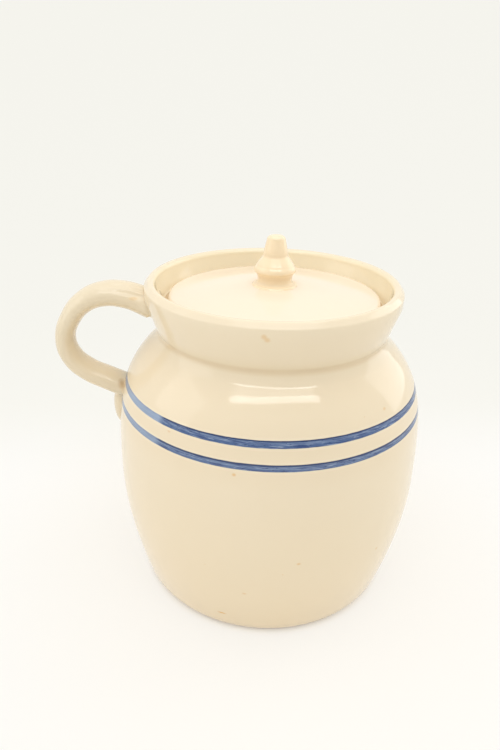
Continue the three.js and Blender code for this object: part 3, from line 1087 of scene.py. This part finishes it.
class CROCK_OT_set_stage(bpy.types.Operator):
    """Sets the pale floor and backdrop, the soft lamps and the camera"""

    bl_idname = "crock.set_stage"
    bl_label = "Set Stage"
    bl_options = {"REGISTER", "UNDO"}

    def execute(self, context):
        self.lay_paper()
        self.hang_lamps()
        self.light_room(context.scene)
        self.place_camera(context.scene)
        context.scene.view_settings.view_transform = "Standard"
        return {"FINISHED"}

    def lay_paper(self):
        """A sheet of white paper on the table, swept up behind the crock."""
        half = 1.8
        sweep_reach = 1.1
        paper = added("paper_sweep", bpy.ops.mesh.primitive_plane_add, size=2 * half)

        def ends(edge):
            """The places of an edge's two ends."""
            return [paper.data.vertices[end].co for end in edge.vertices]

        select_where(paper, "EDGE", lambda edge: all(end.y > half / 2 for end in ends(edge)))
        bpy.ops.mesh.extrude_region_move(TRANSFORM_OT_translate={"value": (0, 0, half)})
        select_where(paper, "EDGE", lambda edge: all(end.y > half / 2 > end.z for end in ends(edge)))
        bpy.ops.mesh.bevel(offset=sweep_reach, segments=24, affect="EDGES")
        bpy.ops.object.mode_set(mode="OBJECT")
        finish_surface(paper, 60)
        paper.data.materials.append(self.paper_material())

    def paper_material(self):
        """Matt white paper, near white to the camera, that keeps the crock's soft shadow, warmed next to it
        by painted bounce light.
        """
        material, tree, place = new_material("white_paper")
        depth = node(tree, "SeparateXYZ", {0: place}, "Y")
        away = node(tree, "VectorMath", {0: place}, "Value", operation="LENGTH")

        # The share of glow in what is seen: less where the crock's shadow falls, least right at its foot
        ends = {"Value": away, "From Min": 120 * MM, "From Max": 500 * MM, "To Min": 0.72, "To Max": 0.93}
        share = node(tree, "MapRange", ends, **EASED)
        ends = {"Value": away, "From Min": 66 * MM, "From Max": 73.5 * MM, "To Min": 0.3}
        contact = node(tree, "MapRange", ends, **EASED)
        share = node(tree, "Math", {0: share, 1: contact}, operation="MULTIPLY")
        share = node(tree, "Math", {0: share, 1: self.seen_ray(tree)}, operation="MULTIPLY")

        # The glow's colour from front to back, and the lit paper's colour from the crock outwards, warm
        # next to it as painted bounce light
        fades = (
            (depth, 60 * MM, 200 * MM, "#FDFCF9", "#F6F5EE"),
            # Painted warm bounce light: the paper is warmer next to the crock
            (away, 90 * MM, 220 * MM, "#F6EEDE", "#F3F1EB"),
        )
        tints = []
        for distance, starts, full, near_code, far_code in fades:
            ends = {"Value": distance, "From Min": starts, "From Max": full}
            mixed = {SHARE: node(tree, "MapRange", ends, **EASED)}
            mixed |= {FIRST: opaque(linear(near_code)), SECOND: opaque(linear(far_code))}
            tints.append(node(tree, "Mix", mixed, **COLOURS))
        glow = node(tree, "Emission", {"Color": tints[0], "Strength": 1})
        matt = node(tree, "BsdfDiffuse", {"Color": tints[1]})
        node(tree, "OutputMaterial", {0: node(tree, "MixShader", {0: share, 1: matt, 2: glow})})
        return material

    def seen_ray(self, tree):
        """1 for the rays that show a surface, straight or in a gloss, and 0 for those that light it."""
        seen = node(tree, "LightPath", output="Is Camera Ray")
        for kind in ("Is Glossy Ray", "Is Transmission Ray"):
            ray = node(tree, "LightPath", output=kind)
            seen = node(tree, "Math", {0: seen, 1: ray}, operation="MAXIMUM")
        return seen

    def hang_lamps(self):
        """Three strips above the camera, for the bright bars, a box overhead and one on either side."""
        crock = (0, 0, 0.1)
        strip, strip_radiance = (0.47, 0.1), 4.1
        # Each lamp's name, its place, where it aims, its two sizes, all in metres, and its radiance
        lamps = (
            ("left_strip", (-0.463, -0.743, 1.18), (-0.278, 0, 0.1), strip, strip_radiance),
            ("middle_strip", (0, -0.8, 1.18), crock, strip, strip_radiance),
            ("right_strip", (0.468, -0.771, 1.18), (0.373, 0, 0.1), strip, strip_radiance),
            ("overhead_softbox", (0, -0.25, 1.7), crock, (1.6, 1.6), 1.14),
            ("left_softbox", (-1.5, -0.2, 0.75), crock, (1.0, 1.0), 0.8),
            ("right_softbox", (1.5, 0.6, 0.6), crock, (1.1, 1.1), 1.0),
        )
        for name, place, target, size, radiance in lamps:
            lamp = added(name, bpy.ops.object.light_add, place, type="AREA")
            lamp.data.shape = "RECTANGLE"
            lamp.data.size, lamp.data.size_y = size
            lamp.data.energy = radiance * math.pi * size[0] * size[1]
            towards = Vector(target) - lamp.location
            lamp.rotation_euler = towards.to_track_quat("-Z", "Y").to_euler()

    def light_room(self, scene):
        """A white room, darker on the camera's side, both in its light and where a gloss shows it."""
        # Along the direction's Y: straight to the front, and where the back's full light starts
        front, back = -1, 0.2
        front_light, back_light = 0.555, 0.91
        front_gloss = 0.5
        world = bpy.data.worlds.new("white_room")
        scene.world = world
        world.use_nodes = True
        tree = world.node_tree
        tree.nodes.clear()
        depth = node(tree, "SeparateXYZ", {0: node(tree, "TexCoord", output="Generated")}, "Y")
        ends = {"Value": depth, "From Min": front, "From Max": back}
        light = node(tree, "MapRange", ends | {"To Min": front_light, "To Max": back_light})
        room = node(tree, "Background", {"Color": (1, 1, 1, 1), "Strength": light})
        gloss = node(tree, "MapRange", ends | {"To Min": front_gloss})
        camera = node(tree, "LightPath", output="Is Camera Ray")
        # The camera itself sees the wall at full strength
        shown = node(tree, "Math", {0: gloss, 1: camera}, operation="MAXIMUM")
        wall = node(tree, "Background", {"Color": opaque(linear("#F6F5EE")), "Strength": shown})
        both = node(tree, "MixShader", {0: self.seen_ray(tree), 1: room, 2: wall})
        node(tree, "OutputWorld", {0: both})

    def place_camera(self, scene):
        """The camera stands and looks as it did for the picture, which is 500 wide and 750 high."""
        camera = added("picture_camera", bpy.ops.object.camera_add, CAMERA_PLACE)
        turn = Matrix.Rotation(math.radians(CAMERA_TURN), 4, "Z")
        tilt = Matrix.Rotation(math.radians(90 - CAMERA_DOWN), 4, "X")
        roll = Matrix.Rotation(math.radians(CAMERA_ROLL), 4, "Z")
        camera.rotation_euler = (turn @ tilt @ roll).to_euler()
        camera.data.sensor_width = SENSOR
        camera.data.lens = CAMERA_LENS
        camera.data.clip_start = 0.01
        scene.camera = camera


class CROCK_PT_workshop(bpy.types.Panel):
    """The crock's operators and sizes, in the 3D view's sidebar"""

    bl_idname = "CROCK_PT_workshop"
    bl_label = "Stoneware Crock"
    bl_space_type = "VIEW_3D"
    bl_region_type = "UI"
    bl_category = "Crock"

    def draw(self, context):
        layout = self.layout
        for operator in OPERATORS:
            layout.operator(operator.bl_idname)
        for name in SETTINGS:
            settings = getattr(context.scene, name)
            box = layout.box()
            for size in settings.__annotations__:
                box.prop(settings, size)


OPERATORS = (
    CROCK_OT_set_stage,
    CROCK_OT_throw_pot,
    CROCK_OT_brush_bands,
    CROCK_OT_pull_handle,
    CROCK_OT_turn_lid,
    CROCK_OT_turn_knob,
)
SETTINGS = {
    "crock_pot": PotShape,
    "crock_handle": HandleShape,
    "crock_lid": LidShape,
    "crock_glazes": Glazes,
}


def register():
    """Registers the settings, the operators and the panel."""
    for kind in (*SETTINGS.values(), *OPERATORS, CROCK_PT_workshop):
        bpy.utils.register_class(kind)
    for name, kind in SETTINGS.items():
        setattr(bpy.types.Scene, name, PointerProperty(type=kind))


def unregister():
    """Takes the settings, the operators and the panel away again."""
    for name in SETTINGS:
        delattr(bpy.types.Scene, name)
    for kind in reversed((*SETTINGS.values(), *OPERATORS, CROCK_PT_workshop)):
        bpy.utils.unregister_class(kind)


def main():
    register()
    bpy.ops.crock.set_stage()
    bpy.ops.crock.throw_pot()
    bpy.ops.crock.brush_bands()
    bpy.ops.crock.pull_handle()
    bpy.ops.crock.turn_lid()
    bpy.ops.crock.turn_knob()


if __name__ == "__main__":
    main()
